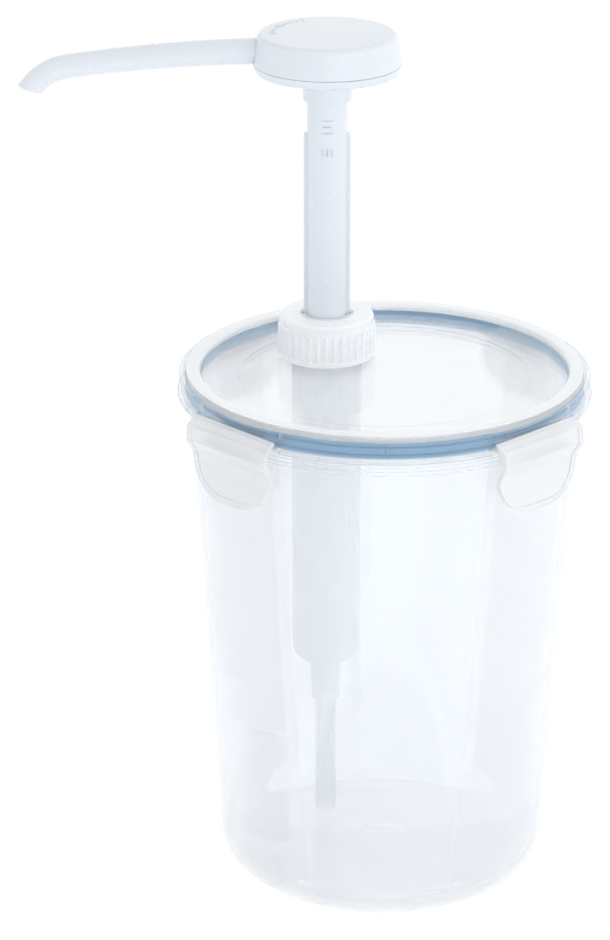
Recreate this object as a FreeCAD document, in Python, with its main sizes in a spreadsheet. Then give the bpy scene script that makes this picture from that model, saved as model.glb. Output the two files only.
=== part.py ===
import FreeCAD, Part
import math
import os
import re
import Sketcher

# Pump dispenser for sauces: a round tapered canister, a clip-down lid with a soft seal and four
# hinged latches, and a long-stroke hand pump whose collar screws onto a neck moulded in the lid.
# Millimetres. The origin is the middle of the canister's foot, +Z is up, the spout points to -X
# and the front of the canister faces -Y. The sizes are the cells of the sheet named Sizes.

SIZES = {
    "canister": [
        ("canister_rise", 208.4, "foot to the top of the sealing lip"),
        ("foot_outer", 66.0, "outside radius of the wall carried down to the foot"),
        ("mouth_outer", 77.2, "outside radius of the wall just under the rim steps"),
        ("canister_wall", 1.9, "thickness of the side wall"),
        ("canister_floor", 1.9, "thickness of the floor"),
        ("foot_corner", 12.0, "outside rounding between wall and foot"),
        ("foot_recess", 1.0, "depth of the groove under the floor, between pad and foot ring"),
        ("foot_pad", 15.0, "radius of the flat pad in the middle of the foot"),
        ("foot_ring", 47.0, "radius where the groove ends and the foot ring starts"),
        ("rim_step", 2.1, "height of each step under the rim flange"),
        ("rim_step_out", 1.1, "how far each step stands out"),
        ("flange_outer", 80.9, "outside radius of the rim flange the latches hook under"),
        ("flange_thick", 1.8, "thickness of the rim flange"),
        ("lip_rise", 2.0, "height of the sealing lip above the flange"),
        ("lip_outer", 78.3, "outside radius of the sealing lip"),
        ("edge_fine", 0.3, "smallest moulded edge rounding"),
        ("edge_soft", 0.4, "rounding of inner and running edges"),
        ("edge_mid", 0.6, "rounding of thick edges"),
        ("edge_full", 0.8, "rounding of the lid and fin corners"),
        ("cut_over", 1.0, "how far a cut runs past the surface it opens"),
        ("cut_far", 10.0, "how far an outside trim runs past a latch"),
    ],
    "lid": [
        ("seal_tall", 6.2, "height of the soft seal"),
        ("seal_outer", 80.0, "outside radius of the soft seal"),
        ("seal_inner", 75.1, "inside radius of the soft seal"),
        ("seal_gap", 0.2, "room beside the seal in its channel"),
        ("plug_outer", 74.9, "outside radius of the ring that enters the mouth"),
        ("plug_thick", 1.7, "thickness of that ring"),
        ("plug_reach", 4.2, "how far that ring enters the mouth"),
        ("shoulder_thick", 1.0, "cover over the seal channel"),
        ("skirt_outer", 82.6, "outside radius of the lid skirt"),
        ("skirt_inner", 81.5, "inside radius of the skirt's open edge"),
        ("skirt_drop", 1.6, "how far the skirt reaches below the seal"),
        ("bead_out", 0.5, "how far the skirt's bottom bead stands out"),
        ("panel_rise", 5.1, "canister rim up to the top of the recessed lid panel"),
        ("panel_thick", 1.9, "thickness of the lid panel"),
        ("panel_step", 0.5, "drop from the outer panel to the middle disc"),
        ("disc_radius", 58.6, "radius of the middle disc"),
        ("ridge_rise", 3.7, "height of the ridge above the panel"),
        ("ridge_inner", 74.2, "inside radius of the ridge top"),
        ("ridge_outer", 79.9, "outside radius of the ridge top"),
        ("wall_outer", 81.1, "outside radius of the seal wall behind a ledge"),
        ("ridge_lean", 0.9, "how far the ridge leans in, and its outer rounding"),
        ("shoulder_edge", 0.5, "rounding where ridge meets shoulder"),
        ("skirt_draft", 0.1, "draft of the skirt"),
        ("ledge_root", 3.0, "how far a ledge is rooted in the wall"),
        ("notch_past", 6.0, "how far a latch notch runs past the skirt"),
        ("latch_count", 4, "number of latches and ledges"),
    ],
    "latches": [
        ("hinge_away", 82.6, "distance of each hinge line from the canister's axis"),
        ("hinge_rise", 3.1, "canister rim up to the hinge lines"),
        ("hinge_bead", 0.9, "radius of the rolled edge at the hinge"),
        ("hinge_gap", 0.2, "room between rolled edge and ledge"),
        ("ledge_half", 22.3, "half the length of a ledge"),
        ("ledge_thick", 3.0, "thickness of a ledge"),
        ("latch_half", 21.9, "half the width of a latch"),
        ("latch_tall", 30.3, "hinge line to the bottom edge of a latch"),
        ("latch_corner", 17.0, "rounding of a latch's two lower corners"),
        ("latch_skin", 1.5, "thickness of a latch"),
        ("waist_out", 1.2, "how far the latch stands out at its waist"),
        ("hem_out", 0.9, "how far it stands out where the flare starts"),
        ("bulge_ease", 0.8, "how far the bulge has to go at its first bend"),
        ("bulge_start", 2.4, "hinge line to the first bend outside"),
        ("bulge_mid", 8.6, "hinge line to the fullest point outside"),
        ("waist_low", 14.2, "hinge line to the waist outside"),
        ("hem_low", 17.6, "hinge line to the start of the flare"),
        ("bulge_start_in", 3.4, "hinge line to the first bend inside"),
        ("bulge_mid_in", 8.2, "hinge line to the fullest point inside"),
        ("waist_low_in", 13.6, "hinge line to the waist inside"),
        ("bend_tight", 1.5, "rounding of the first bend inside"),
        ("bend_small", 2.0, "rounding of the small bends"),
        ("bend_mid", 3.0, "rounding of the fullest bend"),
        ("bend_wide", 4.0, "rounding of the flare"),
        ("bead_high", 0.5, "share of the bead the latch top reaches"),
        ("bead_low", 0.7, "share of the bead its inside edge reaches"),
        ("hinge_tuck", 0.2, "how far the inside edge tucks behind the hinge"),
        ("window_top", 2.2, "hinge line to the top of the border window"),
        ("catch_root", 0.6, "share of the skin the catch is rooted in"),
        ("latch_bulge", 4.4, "how far a latch bulges past its hinge line"),
        ("latch_flare", 2.9, "how far its bottom edge stands past its hinge line"),
        ("latch_border", 2.2, "width of the raised border"),
        ("border_rise", 0.5, "height of the raised border"),
        ("catch_half", 15.0, "half the width of the catch rib"),
        ("catch_thick", 1.9, "thickness of the catch rib"),
        ("catch_bite", 1.0, "how far the catch reaches under the flange"),
        ("catch_gap", 0.3, "room between catch and flange"),
    ],
    "collar": [
        ("pump_x", -23.5, "pump axis from the canister's axis"),
        ("pump_y", 25.5, "pump axis from the canister's axis"),
        ("neck_bore", 15.2, "inside radius of the lid's neck"),
        ("neck_outer", 17.0, "outside radius of the neck between its threads"),
        ("neck_rise", 11.6, "height of the neck above the middle disc"),
        ("thread_pitch", 4.2, "rise of the collar for one turn"),
        ("thread_deep", 0.9, "height of the thread"),
        ("thread_gap", 0.2, "room between the two threads"),
        ("thread_foot", 1.5, "height of the thread at its root"),
        ("thread_turns", 1.6, "turns of thread on the neck and in the collar"),
        ("thread_bury", 0.4, "how deep the thread is rooted"),
        ("thread_start", 1.2, "height of the first thread over the disc"),
        ("collar_outer", 19.9, "outside radius of the collar's bottom band"),
        ("collar_body", 19.1, "outside radius between the grip ribs"),
        ("collar_rib", 0.8, "radius of a grip rib"),
        ("collar_ribs", 36, "number of grip ribs"),
        ("collar_band", 1.8, "height of the collar's bottom band"),
        ("collar_grip", 12.6, "height of the ribbed band"),
        ("collar_edge", 1.2, "rounding of the collar top edge"),
        ("band_chamfer", 0.2, "chamfer over the bottom band"),
        ("rib_bury", 0.05, "how deep a rib is rooted"),
        ("rib_short", 1.5, "how much shorter the ribs are than the grip"),
        ("hub_gap", 0.12, "room between hub and collar"),
        ("collar_roof", 1.8, "thickness of the collar's top"),
        ("collar_gap", 0.3, "room under the collar"),
        ("neck_seal_thick", 1.0, "thickness of the neck gasket"),
        ("neck_inset", 0.2, "how far the neck gasket reaches into the bore"),
    ],
    "pump": [
        ("barrel_flange", 1.4, "thickness of the pump barrel's flange"),
        ("flange_radius", 17.0, "radius of the flanges clamped in the collar"),
        ("barrel_outer", 14.3, "outside radius of the pump barrel"),
        ("barrel_bore", 12.8, "inside radius of the pump barrel"),
        ("barrel_round", 7.0, "height over which the barrel's end rounds in"),
        ("tail_outer", 6.75, "outside radius at the top of the tail"),
        ("tail_tip", 5.8, "outside radius at the tip of the tail"),
        ("tail_tall", 19.2, "length of the tail"),
        ("barrel_draft", 0.2, "draft of the barrel"),
        ("barrel_corner", 6.0, "rounding of the barrel end"),
        ("ball_room", 1.1, "room beside the inlet ball"),
        ("ball_pocket", 3.0, "height of the ball pocket over the tail"),
        ("cage_ledge", 2.6, "width of the ledge the cage sits on"),
        ("seat_drop", 3.4, "barrel tail to the inlet seat"),
        ("tube_socket", 2.0, "inlet seat to the top of the tube"),
        ("tube_outer", 4.4, "outside radius of the dip tube"),
        ("tube_bore", 3.2, "inside radius of the dip tube"),
        ("tube_foot", 2.0, "room between dip tube and floor"),
        ("guide_flange", 1.4, "thickness of the guide's flange"),
        ("hub_radius", 10.6, "radius of the guide hub seen in the collar's top"),
        ("guide_outer", 12.4, "outside radius of the guide in the barrel"),
        ("guide_reach", 28.4, "how far the guide reaches below its flange"),
        ("run_gap", 0.1, "running fit of stem, fins and piston"),
        ("tip_gap", 0.6, "room beyond the fin tips in the keyway"),
        ("stem_outer", 8.0, "outside radius of the stem"),
        ("stem_bore", 4.3, "inside radius of the stem"),
        ("fin_tip", 9.3, "radius of the stem's two fins"),
        ("fin_thick", 2.4, "thickness of the fins"),
        ("fin_bare", 13.8, "bare stem between the fins and the boss"),
        ("fin_hold", 4.0, "how far the fins stay above the guide end"),
        ("fin_root", 1.0, "how deep the fins are rooted"),
        ("bar_half", 0.8, "half the width of the ball stop bar"),
        ("bar_tall", 2.4, "height of the ball stop bar"),
        ("mark_wide", 2.6, "half the length of a long mark"),
        ("mark_short", 1.6, "half the length of the short mark"),
        ("mark_line", 0.8, "width of a mark"),
        ("mark_first", 1.6, "fin tops to the first mark"),
        ("mark_step", 2.6, "distance from mark to mark"),
        ("mark_deep", 0.6, "depth of the marks"),
        ("tick_pitch", 1.8, "distance between the upright marks"),
        ("tick_low", 7.5, "fin tops down to the foot of the upright marks"),
        ("tick_high", 4.5, "fin tops down to their tops"),
        ("stem_short", 1.8, "how deep the stem ends under the disc face"),
        ("stroke", 85.0, "travel of the plunger"),
        ("stroke_spare", 4.4, "room left between boss and collar at the bottom"),
        ("holder_flange", 1.8, "thickness of the piston holder's flange"),
        ("holder_radius", 11.6, "radius of the piston holder's flange"),
        ("holder_neck", 9.2, "radius that the cup seal sits on"),
        ("cup_tall", 9.4, "height of the cup seal"),
        ("cup_lip", 0.8, "thickness of the cup seal's lips"),
        ("cup_root", 1.2, "thickness of the cup at its neck"),
        ("cup_root_in", 1.4, "the same at the bottom of the groove"),
        ("cup_groove", 2.6, "depth of the groove behind a lip"),
        ("cup_groove_lip", 2.4, "the same at the lip"),
        ("cup_lip_tall", 1.4, "height of the wiping band"),
        ("cup_waist", 0.5, "how far the cup stands off the bore between its lips"),
        ("retainer_thick", 2.4, "thickness of the retaining ring"),
        ("retainer_in", 0.2, "how much smaller the retainer is than the holder"),
        ("cage_pin", 2.2, "radius of the pin over the inlet ball"),
        ("cage_thick", 2.0, "thickness of the cage"),
        ("cage_step", 1.0, "cage to the barrel floor"),
        ("ring_tall", 3.0, "height of the ring that centres the spring"),
        ("ring_thick", 1.4, "thickness of that ring"),
        ("spring_room", 0.4, "room between ring and spring"),
        ("flow_radius", 1.7, "radius of a flow hole"),
        ("flow_away", 5.4, "flow hole to the axis"),
        ("flow_count", 6, "number of flow holes"),
        ("ball_float", 0.05, "room between ball and seat"),
        ("seat_radius", 2.6, "radius of both valve seats"),
        ("seat_thick", 2.2, "thickness of the wall under the outlet seat"),
        ("ball_radius", 3.6, "radius of both valve balls"),
        ("ball_lift", 3.0, "travel of a valve ball"),
        ("spring_mean", 10.4, "radius of the spring's coils"),
        ("wire_thick", 1.3, "thickness of the spring's wire"),
        ("spring_turns", 8, "number of coils"),
        ("spring_spare", 1.4, "room left in the spring at full stroke"),
    ],
    "head": [
        ("boss_outer", 9.6, "outside radius of the boss under the head"),
        ("boss_tall", 11.4, "height of the boss"),
        ("head_under", 28.8, "radius of the head's underside"),
        ("head_wide", 29.4, "largest radius of the head"),
        ("head_crown", 27.6, "radius of the head's top edge"),
        ("base_thick", 3.3, "thickness of the head's lower disc"),
        ("base_step", 1.7, "height of the line round the lower disc"),
        ("base_step_out", 0.35, "how far the disc stands out above that line"),
        ("disc_draft", 0.1, "draft of the disc"),
        ("lip_room", 0.4, "room between cover and the disc lip"),
        ("lip_lean", 0.2, "lean of the disc lip"),
        ("lip_thick", 1.4, "thickness of the disc lip at its foot"),
        ("lip_tall", 2.6, "height of the disc lip"),
        ("cap_tall", 12.7, "height of the head's cover"),
        ("cap_skin", 1.7, "thickness of the head's cover"),
        ("crown_edge", 2.2, "rounding of the cover top edge"),
        ("crown_fall", 0.6, "how far the top falls to its edge"),
        ("arch_room", 0.2, "room between spout and arch"),
        ("arch_flat", 0.1, "flat left at the top of the arch"),
        ("well_low", 3.0, "how far the liquid passage starts under the disc"),
        ("well_high", 1.0, "how far it ends over the spout axis"),
        ("mouth_half", 12.0, "half the width of the cut that ends the spout"),
        ("mouth_past", 14.0, "depth of that cut"),
        ("cap_gap", 0.12, "joint line between disc and cover"),
        ("spout_rise", 8.3, "head underside up to the axis of the spout"),
        ("spout_root", 5.3, "outside radius of the spout at the head"),
        ("spout_tip", 4.6, "outside radius of the spout at its mouth"),
        ("spout_wall", 1.6, "thickness of the spout's wall"),
        ("arm_start", 10.0, "where the spout's axis starts"),
        ("arm_reach", 103.0, "where the spout starts to turn down"),
        ("arm_fall", 6.8, "how far the arm droops on the way"),
        ("nose_bend", 22.0, "radius of the downward bend"),
        ("nose_angle", 48.0, "final slope of the spout, in degrees"),
        ("nose_run", 2.6, "straight run from the bend to the middle of the mouth"),
        ("mouth_angle", 18.0, "slope of the mouth's cut, in degrees"),
    ],
}

# Levels and fits that follow from the sizes above, as spreadsheet formulas.
DERIVED = [
    ("panel_level", "canister_rise + panel_rise"),
    ("hinge_level", "canister_rise + hinge_rise"),
    ("flange_top", "canister_rise - lip_rise"),
    ("flange_under", "flange_top - flange_thick"),
    ("step_two", "flange_under - rim_step"),
    ("step_one", "step_two - rim_step"),
    ("floor_top", "foot_recess + canister_floor"),
    ("channel_roof", "canister_rise + seal_tall"),
    ("shoulder_level", "channel_roof + shoulder_thick"),
    ("skirt_bottom", "canister_rise - skirt_drop"),
    ("disc_level", "panel_level - panel_step"),
    ("ridge_level", "panel_level + ridge_rise"),
    ("ledge_top", "hinge_level + hinge_bead"),
    ("ledge_under", "ledge_top - ledge_thick"),
    ("ledge_edge", "hinge_away - hinge_bead - hinge_gap"),
    ("neck_top", "disc_level + neck_rise"),
    ("flange_level", "neck_top + neck_seal_thick"),
    ("guide_level", "flange_level + barrel_flange"),
    ("guide_top", "guide_level + guide_flange"),
    ("roof_level", "guide_top + collar_gap"),
    ("collar_bottom", "disc_level + collar_gap"),
    ("collar_top", "roof_level + collar_roof"),
    ("collar_bore", "neck_outer + thread_deep + thread_gap"),
    ("guide_end", "guide_level - guide_reach"),
    ("holder_top", "guide_end - collar_gap"),
    ("cup_top", "holder_top - holder_flange"),
    ("cup_bottom", "cup_top - cup_tall"),
    ("retainer_end", "cup_bottom - retainer_thick"),
    ("seat_level", "cup_bottom - collar_gap"),
    ("holder_end", "seat_level - seat_thick"),
    ("boss_level", "collar_top + stroke + stroke_spare"),
    ("head_level", "boss_level + boss_tall"),
    ("disc_top", "head_level + base_thick"),
    ("cap_level", "disc_top + cap_gap"),
    ("head_top", "cap_level + cap_tall"),
    ("spout_level", "head_level + spout_rise"),
    ("fin_end", "guide_end + fin_hold"),
    ("fin_top", "boss_level - fin_bare"),
    ("cage_top", "retainer_end - stroke - (spring_turns + 1) * wire_thick - spring_spare"),
    ("cage_level", "cage_top - cage_thick"),
    ("barrel_bottom", "cage_level - cage_step"),
    ("barrel_tail", "barrel_bottom - barrel_round"),
    ("tail_end", "barrel_tail - tail_tall"),
    ("ball_seat", "barrel_tail - seat_drop"),
    ("ball_sit", "sqrt(ball_radius ^ 2 - seat_radius ^ 2) + ball_float"),
    ("inlet_level", "ball_seat + ball_sit"),
    ("outlet_level", "seat_level + ball_sit"),
    ("tube_end", "floor_top + tube_foot"),
    ("tube_top", "ball_seat - tube_socket"),
    ("arm_slope", "2 * atan(arm_fall / (arm_reach - arm_start))"),
    ("elbow_level", "spout_level - arm_fall"),
    ("wrist_reach", "arm_reach + nose_bend * (sin(nose_angle) - sin(arm_slope))"),
    ("wrist_level", "elbow_level - nose_bend * (cos(arm_slope) - cos(nose_angle))"),
    ("mouth_reach", "wrist_reach + nose_run * cos(nose_angle)"),
    ("mouth_level", "wrist_level - nose_run * sin(nose_angle)"),
    ("spout_end_reach", "mouth_reach + spout_tip * cos(nose_angle)"),
    ("spout_end_level", "mouth_level - spout_tip * sin(nose_angle)"),
]

FIRST_LATCH = 45
LATCHES = {
    "latch_back_right": FIRST_LATCH,
    "latch_back_left": FIRST_LATCH + 90,
    "latch_front_left": FIRST_LATCH + 180,
    "latch_front_right": FIRST_LATCH + 270,
}

doc = FreeCAD.newDocument("Dispenser")
sheet = doc.addObject("Spreadsheet::Sheet", "Sizes")
aliases = []


def add_row(alias, content, note):
    """Write one named cell with its note beside it."""
    row = len(aliases) + 1
    sheet.set("A%d" % row, alias)
    sheet.set("B%d" % row, content)
    sheet.set("C%d" % row, note)
    sheet.setAlias("B%d" % row, alias)
    aliases.append(alias)


for group in SIZES.values():
    for alias, size, note in group:
        add_row(alias, str(size), note)
for alias, text in DERIVED:
    add_row(alias, "=" + text, "follows from other cells")
doc.recompute()

ALIAS = re.compile(r"\b(" + "|".join(sorted(aliases, key=len, reverse=True)) + r")\b")


def formula(text):
    """Point the size names in a formula at the sheet's cells."""
    return ALIAS.sub(r"Sizes.\1", text)


def worth(text):
    """The number that a formula gives."""
    return float(sheet.evalExpression(text))


def new_body(label, x="0", y="0", turn=0.0):
    """An empty body, placed over (x, y) and turned about +Z by turn degrees."""
    body = doc.addObject("PartDesign::Body", label)
    body.Label = label
    body.Placement = FreeCAD.Placement(
        FreeCAD.Vector(worth(x), worth(y), 0), FreeCAD.Rotation(FreeCAD.Vector(0, 0, 1), turn))
    for axis, text in (("x", x), ("y", y)):
        if text != "0":
            body.setExpression("Placement.Base." + axis, formula(text))
    return body


def pump_body(label):
    """An empty body on the pump's axis."""
    return new_body(label, "pump_x", "pump_y")


def new_sketch(body, name, plane="XZ_Plane", level=None, turn=0):
    """A sketch on one of the body's own planes, lifted off it by level and turned in it."""
    sketch = body.newObject("Sketcher::SketchObject", name)
    support = [item for item in body.Origin.OriginFeatures if item.Role == plane][0]
    sketch.AttachmentSupport = [(support, "")]
    sketch.MapMode = "FlatFace"
    sketch.AttachmentOffset.Rotation = FreeCAD.Rotation(FreeCAD.Vector(0, 0, 1), turn)
    if level is not None:
        sketch.setExpression("AttachmentOffset.Base.z", formula(level))
    return sketch


def fix(sketch, kind, *place, text):
    """Add a sized constraint and bind it to its formula."""
    index = sketch.addConstraint(Sketcher.Constraint(kind, *place, worth(text)))
    sketch.setExpression("Constraints[%d]" % index, formula(text))


def pin_point(sketch, geometry, point, x, y):
    """Hold one point of the sketch at (x, y)."""
    fix(sketch, "DistanceX", -1, 1, geometry, point, text=x)
    fix(sketch, "DistanceY", -1, 1, geometry, point, text=y)


def outline(sketch, corners):
    """A closed outline through corners (x, y) or, rounded, (x, y, radius)."""
    count = len(corners)
    spots = [FreeCAD.Vector(worth(corner[0]), worth(corner[1]), 0) for corner in corners]
    starts, ends, arcs = [], [], []
    for i, corner in enumerate(corners):
        here = spots[i]
        if len(corner) < 3:
            starts.append(here)
            ends.append(here)
            arcs.append(None)
            continue
        radius = worth(corner[2])
        back = (spots[i - 1] - here).normalize()
        ahead = (spots[(i + 1) % count] - here).normalize()
        half = back.getAngle(ahead) / 2
        reach = radius / math.tan(half)
        middle = here + (back + ahead).normalize() * (radius / math.sin(half))
        starts.append(here + back * reach)
        ends.append(here + ahead * reach)
        near = middle - (back + ahead).normalize() * radius
        arcs.append(Part.Arc(here + back * reach, near, here + ahead * reach))
    lines = [sketch.addGeometry(Part.LineSegment(ends[i], starts[(i + 1) % count]), False)
             for i in range(count)]
    for i, corner in enumerate(corners):
        before, after = lines[i - 1], lines[i]
        if arcs[i] is None:
            sketch.addConstraint(Sketcher.Constraint("Coincident", before, 2, after, 1))
            pin_point(sketch, after, 1, corner[0], corner[1])
            continue
        bend = sketch.addGeometry(arcs[i], False)
        first = sketch.getPoint(bend, 1)
        lead, trail = (1, 2) if first.distanceToPoint(starts[i]) < 1e-6 else (2, 1)
        sketch.addConstraint(Sketcher.Constraint("Tangent", before, 2, bend, lead))
        sketch.addConstraint(Sketcher.Constraint("Tangent", bend, trail, after, 1))
        fix(sketch, "Radius", bend, text=corner[2])
        mark = sketch.addGeometry(Part.Point(spots[i]), True)
        sketch.addConstraint(Sketcher.Constraint("PointOnObject", mark, 1, before))
        sketch.addConstraint(Sketcher.Constraint("PointOnObject", mark, 1, after))
        pin_point(sketch, mark, 1, corner[0], corner[1])


def circle(sketch, radius, x="0", y="0"):
    """A circle of the given radius about (x, y)."""
    spot = FreeCAD.Vector(worth(x), worth(y), 0)
    ring = sketch.addGeometry(Part.Circle(spot, FreeCAD.Vector(0, 0, 1), worth(radius)), False)
    fix(sketch, "Radius", ring, text=radius)
    pin_point(sketch, ring, 3, x, y)


def chord_band(sketch, radius, half, outer):
    """The area between an arc about the axis and a straight edge outside it."""
    size, wide, away = worth(radius), worth(half), worth(outer)
    angle = math.asin(wide / size)
    ring = Part.Circle(FreeCAD.Vector(0, 0, 0), FreeCAD.Vector(0, 0, 1), size)
    bend = sketch.addGeometry(Part.ArcOfCircle(ring, -angle, angle), False)
    inner = size * math.cos(angle)
    spots = [(inner, wide), (away, wide), (away, -wide), (inner, -wide)]
    vectors = [FreeCAD.Vector(x, y, 0) for x, y in spots]
    side = [sketch.addGeometry(Part.LineSegment(vectors[i], vectors[i + 1]), False) for i in range(3)]
    sketch.addConstraint(Sketcher.Constraint("Coincident", bend, 3, -1, 1))
    fix(sketch, "Radius", bend, text=radius)
    sketch.addConstraint(Sketcher.Constraint("Coincident", bend, 2, side[0], 1))
    sketch.addConstraint(Sketcher.Constraint("Coincident", side[0], 2, side[1], 1))
    sketch.addConstraint(Sketcher.Constraint("Coincident", side[1], 2, side[2], 1))
    sketch.addConstraint(Sketcher.Constraint("Coincident", side[2], 2, bend, 1))
    pin_point(sketch, side[1], 1, outer, half)
    pin_point(sketch, side[1], 2, outer, "-" + half)
    sketch.addConstraint(Sketcher.Constraint("Horizontal", side[0]))
    sketch.addConstraint(Sketcher.Constraint("Horizontal", side[2]))


def rectangle(sketch, left, low, right, high):
    """A rectangle between two opposite corners."""
    outline(sketch, [(left, low), (right, low), (right, high), (left, high)])


def revolve(body, name, corners, kind="PartDesign::Revolution"):
    """Turn an outline of (radius, level) corners a full turn about the body's axis."""
    sketch = new_sketch(body, name + "_outline")
    outline(sketch, corners)
    turn = body.newObject(kind, name)
    turn.Profile = sketch
    turn.ReferenceAxis = (sketch, ["V_Axis"])
    turn.Angle = 360
    doc.recompute()
    return turn


def pad(body, name, sketch, length, both_ways=False):
    """Raise a sketch into a solid, along its normal or evenly to both sides."""
    feature = body.newObject("PartDesign::Pad", name)
    feature.Profile = sketch
    feature.SideType = "Symmetric" if both_ways else "One side"
    feature.Length = worth(length)
    feature.setExpression("Length", formula(length))
    doc.recompute()
    return feature


def pocket(body, name, sketch, length=None, upward=False):
    """Cut a sketch out: right through both ways, or by a length along its normal."""
    before = body.Shape.Volume
    feature = body.newObject("PartDesign::Pocket", name)
    feature.Profile = sketch
    if length is None:
        feature.SideType = "Symmetric"
        feature.Type = "ThroughAll"
    else:
        feature.Length = worth(length)
        feature.setExpression("Length", formula(length))
        feature.Reversed = upward
    doc.recompute()
    if not body.Shape.Volume < before - 1e-3:
        raise RuntimeError("%s cuts nothing" % name)
    return feature


def repeat(body, name, features, times, start_angle=360):
    """Repeat features evenly round the body's axis."""
    pattern = body.newObject("PartDesign::PolarPattern", name)
    axis = [item for item in body.Origin.OriginFeatures if item.Role == "Z_Axis"][0]
    pattern.Originals = features
    pattern.Axis = (axis, [""])
    pattern.Angle = start_angle
    pattern.Occurrences = int(worth(times))
    if times in aliases:
        pattern.setExpression("Occurrences", formula(times))
    body.Tip = pattern
    doc.recompute()
    return pattern


def thread(body, name, root, crest, low, x="0", y="0"):
    """A helical thread between two radii, about an upright axis through (x, y)."""
    section = new_sketch(body, name + "_section")
    section.AttachmentOffset.Base = FreeCAD.Vector(worth(x), 0, -worth(y))
    if x != "0":
        section.setExpression("AttachmentOffset.Base.x", formula(x))
        section.setExpression("AttachmentOffset.Base.z", formula("-" + y))
    outline(section, [
        (root, low),
        (crest, low + " + thread_foot / 4"),
        (crest, low + " + thread_foot * 3 / 4"),
        (root, low + " + thread_foot"),
    ])
    coil = body.newObject("PartDesign::AdditiveHelix", name)
    coil.Profile = section
    coil.ReferenceAxis = (section, ["V_Axis"])
    wind(coil, "thread_turns * thread_pitch", "thread_turns")
    return coil


def wind(coil, tall, turns):
    """Set a helix by its height and its number of turns."""
    coil.Mode = "height-turns-angle"
    coil.Angle = 0
    coil.Growth = 0
    coil.Height = worth(tall)
    coil.setExpression("Height", formula(tall))
    coil.Turns = worth(turns)
    coil.setExpression("Turns", formula(turns))
    doc.recompute()


def make_container():
    """Tapered canister with a rounded foot, stepped rim, flange and sealing lip."""
    body = new_body("container")
    step_two_outer = "mouth_outer + 2 * rim_step_out"
    revolve(body, "shell", [
        ("0", "0"),
        ("foot_pad", "0"),
        ("foot_pad + foot_recess", "foot_recess"),
        ("foot_ring", "foot_recess"),
        ("foot_ring + foot_recess", "0"),
        ("foot_outer", "0", "foot_corner"),
        ("mouth_outer", "step_one"),
        ("mouth_outer + rim_step_out", "step_one"),
        ("mouth_outer + rim_step_out", "step_two"),
        (step_two_outer, "step_two"),
        (step_two_outer, "flange_under"),
        ("flange_outer", "flange_under", "flange_thick / 4"),
        ("flange_outer", "flange_top", "flange_thick / 4"),
        ("lip_outer", "flange_top"),
        ("lip_outer", "canister_rise", "lip_rise / 4"),
        ("mouth_outer - canister_wall + edge_soft", "canister_rise", "lip_rise / 4"),
        ("mouth_outer - canister_wall", "step_one"),
        ("foot_outer - canister_wall", "floor_top", "foot_corner - canister_wall"),
        ("0", "floor_top"),
    ])
    return body


def make_lid():
    """Lid: recessed panel, ridge, seal channel, skirt, four ledges and the screw neck."""
    body = new_body("lid")
    revolve(body, "cover", [
        ("0", "disc_level"),
        ("disc_radius - panel_step", "disc_level"),
        ("disc_radius", "panel_level"),
        ("ridge_inner - ridge_lean", "panel_level", "edge_full"),
        ("ridge_inner", "ridge_level", "edge_full"),
        ("ridge_outer", "ridge_level", "ridge_lean"),
        ("ridge_outer + edge_mid", "shoulder_level", "shoulder_edge"),
        ("skirt_outer - skirt_draft", "shoulder_level", "shoulder_thick - skirt_draft"),
        ("skirt_outer", "canister_rise"),
        ("skirt_outer + bead_out", "canister_rise - bead_out"),
        ("skirt_outer + bead_out", "skirt_bottom + edge_fine"),
        ("skirt_outer + bead_out - edge_fine", "skirt_bottom"),
        ("plug_outer", "skirt_bottom"),
        ("plug_outer - edge_fine", "canister_rise - plug_reach"),
        ("plug_outer - plug_thick", "canister_rise - plug_reach"),
        ("plug_outer - plug_thick", "panel_level - panel_thick", "edge_full"),
        ("disc_radius", "panel_level - panel_thick"),
        ("disc_radius - panel_step", "disc_level - panel_thick"),
        ("0", "disc_level - panel_thick"),
    ])
    gap = new_sketch(body, "latch_gap_plan", "XY_Plane", turn=FIRST_LATCH)
    chord_band(gap, "wall_outer", "ledge_half", "skirt_outer + notch_past")
    gap_cut = pocket(body, "latch_gap", gap)
    ledge = new_sketch(body, "ledge_plan", "XY_Plane", "ledge_under", FIRST_LATCH)
    rectangle(ledge, "seal_outer - ledge_root", "-ledge_half", "ledge_edge", "ledge_half")
    ledge_pad = pad(body, "ledge", ledge, "ledge_thick")
    repeat(body, "four_ledges", [gap_cut, ledge_pad], "latch_count")
    revolve(body, "seal_channel", [
        ("plug_outer", "skirt_bottom - cut_over"),
        ("plug_outer", "channel_roof"),
        ("seal_outer + seal_gap", "channel_roof"),
        ("seal_outer + seal_gap", "ledge_under"),
        ("skirt_inner - skirt_draft", "canister_rise"),
        ("skirt_inner", "skirt_bottom - cut_over"),
    ], "PartDesign::Groove")
    hole = new_sketch(body, "pump_hole_plan", "XY_Plane")
    circle(hole, "neck_bore", "pump_x", "pump_y")
    neck = new_sketch(body, "neck_plan", "XY_Plane", "disc_level - panel_thick")
    circle(neck, "neck_outer", "pump_x", "pump_y")
    pad(body, "neck", neck, "panel_thick + neck_rise")
    thread(body, "neck_thread", "neck_outer - thread_bury", "neck_outer + thread_deep",
           "disc_level + thread_start", "pump_x", "pump_y")
    pocket(body, "pump_hole", hole)
    return body


def make_ring(label, inner, outer, low, high, on_pump=False):
    """A plain flat-faced ring."""
    body = pump_body(label) if on_pump else new_body(label)
    revolve(body, "ring", [(inner, low), (outer, low), (outer, high), (inner, high)])
    return body


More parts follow.
